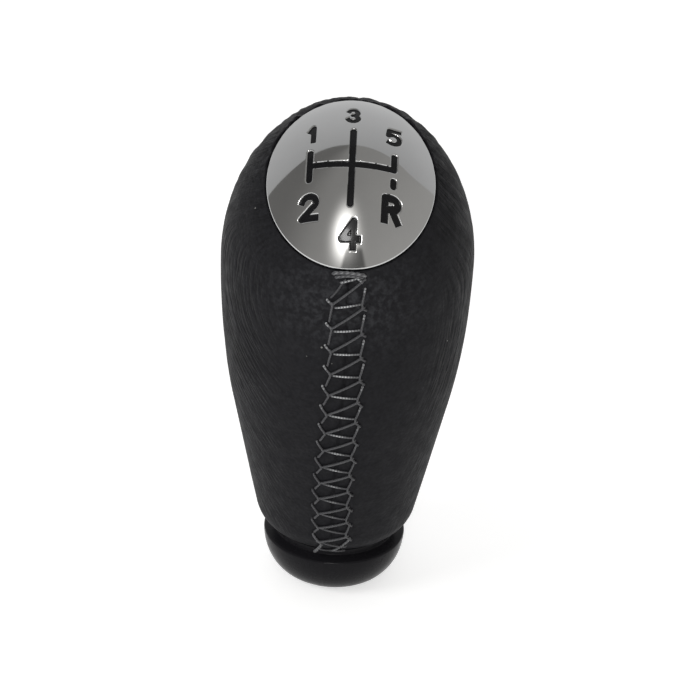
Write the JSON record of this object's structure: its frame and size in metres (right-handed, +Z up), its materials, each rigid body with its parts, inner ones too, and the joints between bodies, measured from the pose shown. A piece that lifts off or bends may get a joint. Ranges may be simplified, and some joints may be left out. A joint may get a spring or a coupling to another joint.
{
  "type": "gear shift knob",
  "caption": "Leather-covered push-on gear shift knob, tapered towards a gloss base collar, with a laced front seam and a tilted chrome cap that shows the shift gate.",
  "frame": {"origin": "centre of the foot of the base collar, on the lever's axis", "axes": "+Z up along the lever, -Y towards the driver: the cap and the laced seam face -Y"},
  "size_m": [0.048, 0.0485, 0.1002],
  "materials": {
    "leather": "black leather with a fine pebbled grain and tension wrinkles",
    "thread": "grey twisted sewing thread",
    "chrome": "bright chrome plating, with recessed marks filled in gloss black",
    "core_plastic": "plain moulded plastic",
    "bush_nylon": "smooth moulded nylon",
    "gloss_black": "gloss black moulded plastic"
  },
  "bodies": {
    "root": {"leather_sleeve": "leather", "edge_stitches_left": "thread", "edge_stitches_right": "thread", "cross_lacing": "thread", "shift_pattern_cap": "chrome", "core_half_left": "core_plastic", "core_half_right": "core_plastic", "lever_bush": "bush_nylon", "base_collar": "gloss_black"}
  },
  "joints": []
}
